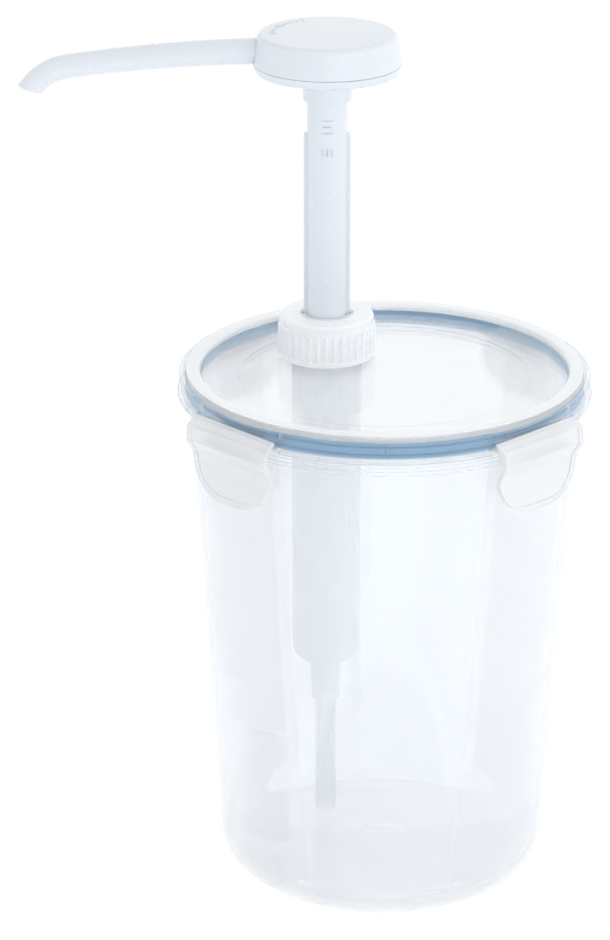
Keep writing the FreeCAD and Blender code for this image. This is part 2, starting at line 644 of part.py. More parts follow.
def make_latch(label, turn):
    """One locking latch, drawn with its hinge line along Y at the +X side."""
    body = new_body(label, turn=turn)
    bulge, flare = "hinge_away + latch_bulge", "hinge_away + latch_flare"

    def side_view(extra):
        """The latch's section; extra thickens it outward."""
        return [
            ("hinge_away", "hinge_level + bead_high * hinge_bead"),
            (bulge + " - bulge_ease + " + extra, "hinge_level - bulge_start", "bend_small"),
            (bulge + " + " + extra, "hinge_level - bulge_mid", "bend_mid"),
            ("hinge_away + waist_out + " + extra, "hinge_level - waist_low", "bend_small"),
            ("hinge_away + hem_out + " + extra, "hinge_level - hem_low", "bend_wide"),
            (flare + " + " + extra, "hinge_level - latch_tall"),
            (flare + " - latch_skin", "hinge_level - latch_tall"),
            ("hinge_away + hem_out - latch_skin", "hinge_level - hem_low", "bend_wide"),
            ("hinge_away + waist_out - latch_skin", "hinge_level - waist_low_in", "bend_small"),
            (bulge + " - latch_skin", "hinge_level - bulge_mid_in", "bend_small"),
            (bulge + " - bulge_ease - latch_skin", "hinge_level - bulge_start_in", "bend_tight"),
            ("hinge_away - hinge_tuck", "hinge_level - bead_low * hinge_bead"),
        ]

    def front_view(sketch, inset, top):
        """The latch's face: straight sides and two round lower corners."""
        low = "hinge_level - latch_tall + " + inset
        half = "latch_half - " + inset
        outline(sketch, [
            ("-(" + half + ")", top),
            ("-(" + half + ")", low, "latch_corner - " + inset),
            (half, low, "latch_corner - " + inset),
            (half, top),
        ])

    thick = new_sketch(body, "border_section")
    outline(thick, side_view("border_rise"))
    pad(body, "border", thick, "2 * latch_half", both_ways=True)
    window = new_sketch(body, "border_window", "YZ_Plane")
    front_view(window, "latch_border", "hinge_level - window_top")
    pocket(body, "inside_border", window)
    thin = new_sketch(body, "web_section")
    outline(thin, side_view("0"))
    pad(body, "web", thin, "2 * latch_half", both_ways=True)
    bead = new_sketch(body, "bead_section")
    circle(bead, "hinge_bead", "hinge_away", "hinge_level")
    pad(body, "rolled_edge", bead, "2 * latch_half", both_ways=True)
    around = new_sketch(body, "around_latch", "YZ_Plane")
    wide, deep = "2 * latch_half", "hinge_level - latch_tall - cut_far"
    rectangle(around, "-" + wide, deep, wide, "hinge_level + cut_far")
    front_view(around, "0", "hinge_level + cut_far / 2")
    pocket(body, "trim", around)
    catch = new_sketch(body, "catch_plan", "XY_Plane", "flange_under - catch_gap - catch_thick")
    chord_band(catch, "flange_outer - catch_bite", "catch_half", bulge + " - catch_root * latch_skin")
    pad(body, "catch", catch, "catch_thick")
    return body


def make_collar():
    """Screw collar: plain bottom band, ribbed grip, rounded shoulder and open top."""
    body = pump_body("collar")
    grip_low = "collar_bottom + collar_band"
    revolve(body, "shell", [
        ("collar_bore", "collar_bottom"),
        ("collar_outer", "collar_bottom", "edge_fine"),
        ("collar_outer", grip_low, "edge_fine"),
        ("collar_body", grip_low + " + band_chamfer"),
        ("collar_body", "collar_top", "collar_edge"),
        ("hub_radius + hub_gap", "collar_top"),
        ("hub_radius + hub_gap", "roof_level"),
        ("collar_bore", "roof_level"),
    ])
    rib = new_sketch(body, "rib_plan", "XY_Plane", grip_low)
    circle(rib, "collar_rib", "collar_body - rib_bury", "0")
    rib_pad = pad(body, "rib", rib, "collar_grip - rib_short")
    repeat(body, "grip", [rib_pad], "collar_ribs")
    thread(body, "collar_thread", "collar_bore + thread_bury", "collar_bore - thread_deep",
           "disc_level + thread_start + thread_pitch / 2")
    return body


def make_barrel():
    """Pump barrel: clamped flange, long bore, rounded end, valve seat and tube socket."""
    body = pump_body("pump_cylinder")
    revolve(body, "shell", [
        ("barrel_bore", "guide_level"),
        ("flange_radius", "guide_level"),
        ("flange_radius", "flange_level"),
        ("barrel_outer", "flange_level"),
        ("barrel_outer - barrel_draft", "barrel_tail", "barrel_corner"),
        ("tail_outer", "barrel_tail"),
        ("tail_tip", "tail_end"),
        ("tube_outer", "tail_end"),
        ("tube_outer", "tube_top"),
        ("seat_radius", "tube_top"),
        ("seat_radius", "ball_seat"),
        ("ball_radius + ball_room", "ball_seat"),
        ("ball_radius + ball_room", "barrel_tail + ball_pocket"),
        ("barrel_bore - cage_ledge", "cage_level"),
        ("barrel_bore", "cage_level"),
    ])
    return body


def make_guide():
    """Keyed stem guide: hub in the collar's top, flange, and sleeve in the barrel."""
    body = pump_body("stem_guide")
    bore = "stem_outer + run_gap"
    revolve(body, "sleeve", [
        (bore, "guide_end"),
        ("guide_outer", "guide_end", "edge_soft"),
        ("guide_outer", "guide_level"),
        ("flange_radius", "guide_level"),
        ("flange_radius", "guide_top"),
        ("hub_radius", "guide_top"),
        ("hub_radius", "collar_top", "edge_soft"),
        (bore, "collar_top", "edge_soft"),
    ])
    keyway = new_sketch(body, "keyway_plan", "XY_Plane")
    reach, half = "fin_tip + tip_gap", "fin_thick / 2 + run_gap"
    rectangle(keyway, "-(" + reach + ")", "-(" + half + ")", reach, half)
    pocket(body, "keyway", keyway)
    return body


def make_stem():
    """Hollow stem with two long fins, an inside bar that stops the ball, and sunk marks."""
    body = pump_body("stem")
    stem_top = "head_level - stem_short"
    revolve(body, "tube", [
        ("stem_bore", "seat_level"),
        ("stem_outer", "seat_level"),
        ("stem_outer", stem_top, "edge_soft"),
        ("stem_bore", stem_top),
    ])
    for name, side in (("left", "-"), ("right", "")):
        fin = new_sketch(body, name + "_fin_outline")
        near, tip = side + "(stem_outer - fin_root)", side + "fin_tip"
        outline(fin, [
            (near, "fin_end"),
            (tip, "fin_end"),
            (tip, "fin_top", "edge_full"),
            (near, "fin_top"),
        ])
        pad(body, name + "_fin", fin, "fin_thick", both_ways=True)
    bar = new_sketch(body, "bar_section", "YZ_Plane")
    low = "outlet_level + ball_radius + ball_lift"
    rectangle(bar, "-bar_half", low, "bar_half", low + " + bar_tall")
    pad(body, "ball_stop", bar, "2 * stem_bore + cut_over", both_ways=True)
    mark = new_sketch(body, "mark_plan", "XZ_Plane", "stem_outer + cut_over")
    foot = "fin_top + mark_first"
    for half in ("mark_wide", "mark_short", "mark_wide"):
        rectangle(mark, "-" + half, foot, half, foot + " + mark_line")
        foot += " + mark_step"
    for across in ("-tick_pitch", "0", "tick_pitch"):
        rectangle(mark, across + " - mark_line / 2", "fin_top - tick_low",
                  across + " + mark_line / 2", "fin_top - tick_high")
    pocket(body, "marks", mark, "cut_over + mark_deep")
    return body


def make_holder():
    """Piston holder: socket for the stem, flange over the cup seal, and the outlet seat."""
    body = pump_body("piston_holder")
    revolve(body, "socket", [
        ("stem_outer", "seat_level"),
        ("seat_radius", "seat_level"),
        ("seat_radius", "holder_end"),
        ("holder_neck", "holder_end", "edge_soft"),
        ("holder_neck", "cup_top"),
        ("holder_radius", "cup_top"),
        ("holder_radius", "holder_top", "edge_soft"),
        ("stem_outer", "holder_top"),
    ])
    return body


def make_cup():
    """Soft cup seal with one lip facing up and one facing down."""
    body = pump_body("piston_cup")
    lip, rim = "barrel_bore - run_gap / 2", "barrel_bore - cup_waist"
    revolve(body, "cup", [
        ("holder_neck", "cup_bottom"),
        ("holder_neck + cup_root", "cup_bottom"),
        ("holder_neck + cup_root_in", "cup_bottom + cup_groove"),
        (lip + " - cup_lip", "cup_bottom + cup_groove_lip"),
        (lip + " - cup_lip", "cup_bottom"),
        (lip, "cup_bottom"),
        (lip, "cup_bottom + cup_lip_tall"),
        (rim, "cup_bottom + cup_groove"),
        (rim, "cup_top - cup_groove"),
        (lip, "cup_top - cup_lip_tall"),
        (lip, "cup_top"),
        (lip + " - cup_lip", "cup_top"),
        (lip + " - cup_lip", "cup_top - cup_groove_lip"),
        ("holder_neck + cup_root_in", "cup_top - cup_groove"),
        ("holder_neck + cup_root", "cup_top"),
        ("holder_neck", "cup_top"),
    ])
    return body


def make_retainer():
    """Ring pressed on below the cup seal; the spring pushes up against it."""
    body = pump_body("piston_retainer")
    revolve(body, "ring", [
        ("holder_neck", "retainer_end"),
        ("holder_radius - retainer_in", "retainer_end", "edge_fine"),
        ("holder_radius - retainer_in", "cup_bottom", "edge_fine"),
        ("holder_neck", "cup_bottom"),
    ])
    return body


def make_cage():
    """Spring seat over the inlet valve: centring ring, ball stop and flow holes."""
    body = pump_body("inlet_cage")
    stop = "inlet_level + ball_radius + ball_lift"
    centring = "spring_mean - wire_thick / 2 - spring_room"
    revolve(body, "seat", [
        ("0", stop),
        ("cage_pin", stop),
        ("cage_pin", "cage_level"),
        ("barrel_bore - run_gap", "cage_level"),
        ("barrel_bore - run_gap", "cage_top"),
        (centring, "cage_top"),
        (centring, "cage_top + ring_tall", "edge_fine"),
        (centring + " - ring_thick", "cage_top + ring_tall", "edge_fine"),
        (centring + " - ring_thick", "cage_top"),
        ("0", "cage_top"),
    ])
    hole = new_sketch(body, "flow_hole_plan", "XY_Plane")
    circle(hole, "flow_radius", "flow_away", "0")
    hole_cut = pocket(body, "flow_hole", hole)
    repeat(body, "flow_holes", [hole_cut], "flow_count")
    return body


def make_ball(label, level):
    """A valve ball resting on its seat."""
    ball = doc.addObject("Part::Sphere", label)
    ball.Label = label
    ball.Placement.Base = FreeCAD.Vector(worth("pump_x"), worth("pump_y"), worth(level))
    for path, text in (("Radius", "ball_radius"), ("Placement.Base.x", "pump_x"),
                       ("Placement.Base.y", "pump_y"), ("Placement.Base.z", level)):
        ball.setExpression(path, formula(text))
    return ball


def make_spring():
    """Return spring: round wire wound between the inlet cage and the piston retainer."""
    body = pump_body("return_spring")
    wire = new_sketch(body, "wire_section")
    circle(wire, "wire_thick / 2", "spring_mean", "cage_top + wire_thick / 2")
    coil = body.newObject("PartDesign::AdditiveHelix", "coil")
    coil.Profile = wire
    coil.ReferenceAxis = (wire, ["V_Axis"])
    wind(coil, "retainer_end - cage_top - wire_thick", "spring_turns")
    return body


def make_dip_tube():
    """Dip tube from the barrel's tail down to just above the floor."""
    body = pump_body("dip_tube")
    revolve(body, "tube", [
        ("tube_bore", "tube_end"),
        ("tube_outer", "tube_end"),
        ("tube_outer", "tube_top"),
        ("tube_bore", "tube_top"),
    ])
    return body


def spout_path(body, name):
    """The spout's axis: a long shallow arc, a tighter bend and a short straight run."""
    sketch = new_sketch(body, name)
    bend, final = worth("nose_bend"), math.radians(worth("nose_angle"))
    slope = math.radians(worth("arm_slope"))
    places = [
        ("-arm_start", "spout_level"),
        ("-arm_reach", "elbow_level"),
        ("-wrist_reach", "wrist_level"),
        ("-spout_end_reach", "spout_end_level"),
    ]
    begin, elbow, wrist, end = [FreeCAD.Vector(worth(x), worth(y), 0) for x, y in places]
    sweep = (begin.x - elbow.x) / math.sin(slope)

    def on_arc(centre, radius, angle):
        """A point of an arc, by the slope that the axis has there."""
        return centre + FreeCAD.Vector(-math.sin(angle), math.cos(angle), 0) * radius

    arm = Part.Arc(begin, on_arc(begin - FreeCAD.Vector(0, sweep, 0), sweep, slope / 2), elbow)
    pivot = elbow - FreeCAD.Vector(-math.sin(slope), math.cos(slope), 0) * bend
    nose = Part.Arc(elbow, on_arc(pivot, bend, (slope + final) / 2), wrist)
    for piece in (arm, nose, Part.LineSegment(wrist, end)):
        sketch.addGeometry(piece, False)

    def tip_of(geometry, spot):
        """Which end of an arc lies at a spot."""
        return 1 if sketch.getPoint(geometry, 1).distanceToPoint(spot) < 1e-6 else 2

    pin_point(sketch, 0, tip_of(0, begin), *places[0])
    pin_point(sketch, 0, tip_of(0, elbow), *places[1])
    fix(sketch, "DistanceX", -1, 1, 0, 3, text=places[0][0])
    sketch.addConstraint(Sketcher.Constraint("Tangent", 0, tip_of(0, elbow), 1, tip_of(1, elbow)))
    sketch.addConstraint(Sketcher.Constraint("Coincident", 1, tip_of(1, wrist), 2, 1))
    pin_point(sketch, 2, 1, *places[2])
    pin_point(sketch, 2, 2, *places[3])
    return sketch


def make_spout_head():
    """Pump head: lower disc with its boss and the long drooping spout."""
    body = pump_body("spout_head")
    lip = "head_crown - cap_skin - lip_room"
    revolve(body, "disc", [
        ("stem_outer", "boss_level"),
        ("boss_outer", "boss_level", "edge_fine"),
        ("boss_outer", "head_level"),
        ("head_under - lip_room", "head_level", "edge_mid"),
        ("head_under", "head_level + base_step"),
        ("head_under + base_step_out", "head_level + base_step"),
        ("head_wide - disc_draft", "disc_top", "edge_fine"),
        (lip, "disc_top"),
        (lip + " - lip_lean", "disc_top + lip_tall", "edge_fine"),
        (lip + " - lip_thick", "disc_top + lip_tall", "edge_fine"),
        (lip + " - lip_thick", "disc_top"),
        ("boss_outer", "disc_top"),
        ("boss_outer", "spout_level + spout_root", "edge_mid"),
        ("0", "spout_level + spout_root"),
        ("0", "head_level - stem_short"),
        ("stem_outer", "head_level - stem_short"),
    ])
    path = spout_path(body, "spout_axis")
    for name, kind, wall in (("spout", "PartDesign::AdditivePipe", ""),
                             ("passage", "PartDesign::SubtractivePipe", " - spout_wall")):
        root = new_sketch(body, name + "_root", "YZ_Plane", "-arm_start")
        circle(root, "spout_root" + wall, "0", "spout_level")
        tip = body.newObject("Sketcher::SketchObject", name + "_tip")
        tip.Placement.Rotation = FreeCAD.Rotation(FreeCAD.Vector(0, 1, 0), 90)
        for path_to, text in (("Base.x", "-spout_end_reach"), ("Base.z", "spout_end_level"),
                              ("Rotation.Angle", "-90 - nose_angle")):
            tip.setExpression("Placement." + path_to, formula(text))
        circle(tip, "spout_tip" + wall)
        pipe = body.newObject(kind, name)
        pipe.Profile = root
        pipe.Spine = (path, ["Edge1", "Edge2", "Edge3"])
        pipe.Transformation = "Multisection"
        pipe.Sections = [tip]
        doc.recompute()
    well = new_sketch(body, "well_plan", "XY_Plane", "head_level - well_low")
    circle(well, "stem_bore")
    pocket(body, "well", well, "spout_level - head_level + well_low + well_high", upward=True)
    mouth = new_sketch(body, "mouth_outline")
    corners = []
    for along, down in (("-mouth_half", "0"), ("mouth_half", "0"),
                        ("mouth_half", "mouth_past"), ("-mouth_half", "mouth_past")):
        corners.append((
            "-mouth_reach + " + along + " * cos(mouth_angle) - " + down + " * sin(mouth_angle)",
            "mouth_level - " + along + " * sin(mouth_angle) - " + down + " * cos(mouth_angle)"))
    outline(mouth, corners)
    pocket(body, "mouth_cut", mouth)
    return body


def make_head_cap():
    """Cover of the head: a shallow dome-sided cap with an arch for the spout."""
    body = pump_body("head_cap")
    revolve(body, "shell", [
        ("head_wide - cap_skin", "cap_level"),
        ("head_wide", "cap_level", "edge_fine"),
        ("head_crown", "head_top - crown_fall", "crown_edge"),
        ("0", "head_top"),
        ("0", "head_top - cap_skin"),
        ("head_crown - cap_skin", "head_top - cap_skin - crown_fall", "edge_mid"),
    ])
    arch = new_sketch(body, "arch_outline", "YZ_Plane")
    half = "spout_root + arch_room"
    outline(arch, [
        ("-(" + half + ")", "cap_level - cut_over"),
        (half, "cap_level - cut_over"),
        (half, "spout_level + " + half, half + " - arch_flat"),
        ("-(" + half + ")", "spout_level + " + half, half + " - arch_flat"),
    ])
    pocket(body, "arch", arch, "2 * head_wide", upward=False)
    return body


pieces = [make_container(), make_lid()]
pieces.append(make_ring("lid_gasket", "seal_inner", "seal_outer", "canister_rise", "channel_roof"))
pieces += [make_latch(label, turn) for label, turn in LATCHES.items()]
pieces.append(make_collar())
pieces.append(make_ring("neck_gasket", "neck_bore - neck_inset", "flange_radius", "neck_top",
                        "flange_level", on_pump=True))
pieces += [make_barrel(), make_guide(), make_stem(), make_holder(), make_cup(), make_retainer()]
pieces += [make_ball("outlet_ball", "outlet_level"), make_ball("inlet_ball", "inlet_level")]
pieces += [make_cage(), make_spring(), make_dip_tube(), make_spout_head(), make_head_cap()]
doc.recompute()

for item in doc.Objects:
    if "Invalid" in item.State or "Error" in item.State:
        raise RuntimeError("%s is in state %s" % (item.Label, item.State))
for piece in pieces:
    if piece.Shape.isNull() or not piece.Shape.isValid() or not piece.Shape.Solids:
        raise RuntimeError("%s has no valid solid" % piece.Label)

os.makedirs("parts", exist_ok=True)
for piece in pieces:
    piece.Shape.exportStep("parts/%s.step" % piece.Label)
    box = piece.Shape.BoundBox
    print("%-18s %9.1f mm3  %d solid  z %.1f to %.1f" % (
        piece.Label, piece.Shape.Volume, len(piece.Shape.Solids), box.ZMin, box.ZMax))
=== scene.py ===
"""Looks for a canister with clip-down lid and hand pump, laid out as an add-on and run as a script."""

import math

import bmesh
import bpy
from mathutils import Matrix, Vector
from mathutils.bvhtree import BVHTree


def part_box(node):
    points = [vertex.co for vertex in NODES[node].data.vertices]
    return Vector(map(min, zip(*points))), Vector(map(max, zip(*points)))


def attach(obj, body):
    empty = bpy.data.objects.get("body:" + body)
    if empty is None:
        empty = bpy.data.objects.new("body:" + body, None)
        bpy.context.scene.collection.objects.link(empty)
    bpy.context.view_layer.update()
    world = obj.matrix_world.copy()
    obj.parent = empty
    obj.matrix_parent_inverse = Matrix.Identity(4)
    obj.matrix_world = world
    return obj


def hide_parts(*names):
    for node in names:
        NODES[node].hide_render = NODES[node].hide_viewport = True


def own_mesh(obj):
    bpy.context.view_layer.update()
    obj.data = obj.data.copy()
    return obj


bl_info = {
    "name": "Sauce Canister and Pump",
    "version": (1, 0, 0),
    "blender": (4, 5, 0),
    "location": "3D View > Sidebar > Canister",
    "description": "Finishes, soft seal, spring, cap marks and studio for a pump canister",
    "category": "Object",
}

MM = 0.001
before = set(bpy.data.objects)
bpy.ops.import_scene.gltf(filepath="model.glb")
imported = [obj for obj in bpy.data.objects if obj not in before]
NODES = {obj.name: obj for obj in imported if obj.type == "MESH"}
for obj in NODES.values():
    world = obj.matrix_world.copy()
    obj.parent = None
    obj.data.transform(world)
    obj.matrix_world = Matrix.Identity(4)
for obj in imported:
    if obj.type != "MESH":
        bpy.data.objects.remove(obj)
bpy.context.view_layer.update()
SEAL_LOW, SEAL_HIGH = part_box("lid_gasket")
SPRING_LOW, SPRING_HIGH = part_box("return_spring")
CAP_LOW, CAP_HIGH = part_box("head_cap")
PUMP_X = (SPRING_LOW.x + SPRING_HIGH.x) / 2
PUMP_Y = (SPRING_LOW.y + SPRING_HIGH.y) / 2
# Looks and shapes shared by several pieces.
PLASTIC_IOR, RUBBER_IOR, FLOOR_IOR = 1.49, 1.41, 1.45
FROST_CLARITY, FROST_SKIN = 0.12, 0.97  # what the frosted ridge passes, and how solid its skin is
BAND_SOFT = 0.5 * MM  # how softly a frosted band fades out
SHARP_SEAL, SHARP_TICK = 50, 60  # edges sharper than these stay crisp, in degrees
SEAL_STEPS, SEAL_SOFT, SEAL_INSET = 36, 0.35 * MM, 0.05 * MM
SEAL_ROUND = 0.12  # share of the seal's height that rounds in at each end
SEAL_DIP, SEAL_FOOT_DIP, SEAL_CUT = 0.3 * MM, 0.25 * MM, 0.35 * MM
SEAL_CUT_DEEP = 1.2 * MM  # how far in from the outside the seam's cut reaches
SPRING_SIDES, SPRING_PER_TURN, SPRING_CLOSED = 14, 72, 2.02
TICK_ROWS, TICK_COLUMNS, TICK_SHORT, LONG_EVERY = 9, 7, 0.55, 5
TICK_RIM, TICK_SINK = 0.05 * MM, 0.2 * MM
FLOOR_RINGS, FLOOR_AROUND, FLOOR_REACH, FLOOR_DROP = 12, 96, 6.0, 0.0002


# Properties ---------------------------------------------------------------------------------


def length(label, text, default, low=0.0, high=1.0):
    """A length in metres."""
    return bpy.props.FloatProperty(
        name=label, description=text, default=default, min=low, max=high,
        subtype="DISTANCE", unit="LENGTH", precision=5,
    )


def share(label, text, default, high=1.0):
    """A number from nothing up to high."""
    return bpy.props.FloatProperty(name=label, description=text, default=default, min=0.0, max=high)


def colour(label, text, default):
    """A colour without alpha."""
    return bpy.props.FloatVectorProperty(
        name=label, description=text, default=default, min=0.0, max=1.0, size=3, subtype="COLOR",
    )


class CanisterFinish(bpy.types.PropertyGroup):
    """Colours and clarity of the clear parts."""

    canister_tint: colour("Canister tint", "Tint of the clear canister", (0.93, 0.952, 0.982))
    lid_tint: colour("Lid tint", "Tint of the clear lid", (0.985, 0.992, 0.998))
    latch_tint: colour("Latch tint", "Tint of the latches", (0.985, 0.992, 0.998))
    clarity: share("Clarity", "Share of the light that passes the canister unscattered", 0.80)
    lid_clarity: share("Lid clarity", "Share of the light that passes the lid unscattered", 0.78)
    latch_clarity: share("Latch clarity", "Share of the light that passes a latch unscattered", 0.35)
    skin: share("Canister skin", "How much of the canister's surface bends and reflects the light", 0.36)
    lid_skin: share("Lid skin", "How much of the lid's surface bends and reflects the light", 0.42)
    ridge_inner: length("Ridge inside", "Inside radius of the frosted ridge", 74.0 * MM)
    ridge_outer: length("Ridge outside", "Outside radius of the frosted ridge", 79.4 * MM)
    ridge_level: length("Ridge level", "Level above which the ridge is frosted", 214.6 * MM)
    seal_colour: colour("Seal", "Colour of the soft seal", (0.135, 0.42, 0.68))
    # painted shade: a dark blue given to the seal's grooves, standing in for the shade that falls in them
    seal_groove_shade: colour("Seal grooves", "Colour in the grooves of the soft seal", (0.02, 0.10, 0.28))


class PumpFinish(bpy.types.PropertyGroup):
    """Colours of the pump."""

    white: colour("White", "White moulded plastic of head and stem", (0.785, 0.815, 0.855))
    milky: colour("Milky", "Milky plastic of the barrel", (0.97, 0.985, 0.998))
    # painted light: the collar is the same white plastic as the stem, made much lighter to make up for the
    # shade that head and lid throw on it
    collar: colour("Collar", "White of the ribbed collar", (0.965, 0.98, 0.995))
    washer: colour("Washers", "Soft white of the washers and piston cup", (0.82, 0.84, 0.85))
    steel: colour("Steel", "Spring wire and balls", (0.62, 0.63, 0.64))


class SealSizes(bpy.types.PropertyGroup):
    """Sizes of the soft seal."""

    inner: length("Inside radius", "Inside radius of the seal", 75.15 * MM)
    outer: length("Outside radius", "Outside radius of the seal", SEAL_HIGH.x - 0.02 * MM)
    groove: length("Groove depth", "Depth of the grooves round the seal", 0.42 * MM)
    grooves: bpy.props.IntProperty(
        name="Grooves", description="Grooves round the seal", default=2, min=0, max=6,
    )
    seam: length("Seam width", "Width of the joint where the seal's ends meet", 0.5 * MM)


class SpringSizes(bpy.types.PropertyGroup):
    """Sizes of the return spring."""

    wire: length("Wire radius", "Radius of the wire", 0.65 * MM)
    coil: length("Coil radius", "Radius of the coil's middle line", 10.4 * MM)
    turns: bpy.props.FloatProperty(
        name="Open turns", description="Turns that stand apart", default=6.5, min=1.0,
    )
    dead: bpy.props.FloatProperty(
        name="Closed turns", description="Turns that lie together at each end", default=1.25,
    )


class CapMarks(bpy.types.PropertyGroup):
    """The raised ticks on the cap."""

    count: bpy.props.IntProperty(name="Ticks", description="How many ticks", default=11, min=0, max=60)
    radius: length("Radius", "Middle of the ticks from the cap's axis", 21.5 * MM)
    long: length("Length", "Length of the long ticks", 4.2 * MM)
    wide: length("Width", "Width of a tick", 0.7 * MM)
    tall: length("Height", "How far a tick stands out", 0.3 * MM)
    start: bpy.props.FloatProperty(
        name="First", description="Direction of the first tick", default=math.radians(118), subtype="ANGLE",
    )
    sweep: bpy.props.FloatProperty(
        name="Spread", description="Angle covered by the ticks", default=math.radians(68), subtype="ANGLE",
    )


class StageSettings(bpy.types.PropertyGroup):
    """Floor, light and camera."""

    floor: colour("Floor", "Colour of the floor", (0.90, 0.92, 0.95))
    glow: share("Floor glow", "Light that the floor gives, as a light table does", 0.22, 5.0)
    sky: share("Fill light", "Strength of the light from all round", 1.0, 5.0)
    lean: bpy.props.FloatVectorProperty(
        name="Fill lean", description="Where the light from all round is stronger",
        default=(0.2, 0.17, -0.14), size=3,
    )
    key: bpy.props.FloatProperty(
        name="Key light", description="Power of the large soft light", default=1.6, unit="POWER",
    )
    front: bpy.props.FloatProperty(
        name="Front light", description="Power of the low soft light in front", default=2.4, unit="POWER",
    )
    rim: bpy.props.FloatProperty(
        name="Strip lights", description="Power of the strip lights", default=0.4, unit="POWER",
    )
    lens: bpy.props.FloatProperty(
        name="Lens", description="Focal length", default=124.1, subtype="DISTANCE_CAMERA",
    )


# Meshes -------------------------------------------------------------------------------------


def make_object(name, vertices, faces, sharp=30):
    """A smooth mesh object, with edges sharper than the angle kept crisp."""
    mesh = bpy.data.meshes.new(name)
    mesh.from_pydata([tuple(v) for v in vertices], [], faces)
    made = bmesh.new()
    made.from_mesh(mesh)
    bmesh.ops.recalc_face_normals(made, faces=made.faces)
    made.to_mesh(mesh)
    made.free()
    mesh.shade_smooth()
    mesh.set_sharp_from_angle(angle=math.radians(sharp))
    piece = bpy.data.objects.new(name, mesh)
    bpy.context.scene.collection.objects.link(piece)
    return piece


def joined(name, parts, sharp=30):
    """One object from several (vertices, faces) lists."""
    vertices, faces = [], []
    for some, theirs in parts:
        start = len(vertices)
        vertices += some
        faces += [tuple(start + i for i in face) for face in theirs]
    return make_object(name, vertices, faces, sharp)


def ring_faces(rings, around, close=True):
    """Quads between rings of vertices; close joins the last ring to the first."""
    faces = []
    for i in range(rings if close else rings - 1):
        for j in range(around):
            a, b = i * around + j, i * around + (j + 1) % around
            c, d = ((i + 1) % rings) * around + (j + 1) % around, ((i + 1) % rings) * around + j
            faces.append((a, b, c, d))
    return faces


def tube(path, sides, radius, up=Vector((0, 0, 1))):
    """A closed round tube along a list of points."""
    vertices = []
    for i, point in enumerate(path):
        along = (path[min(i + 1, len(path) - 1)] - path[max(i - 1, 0)]).normalized()
        across = along.cross(up).normalized()
        above = across.cross(along)
        for k in range(sides):
            turn = 2 * math.pi * k / sides
            vertices.append(point + radius * (math.cos(turn) * across + math.sin(turn) * above))
    faces = ring_faces(len(path), sides, close=False)
    faces.append(tuple(range(sides)))
    faces.append(tuple(len(vertices) - 1 - k for k in range(sides)))
    return vertices, faces


# Materials ----------------------------------------------------------------------------------


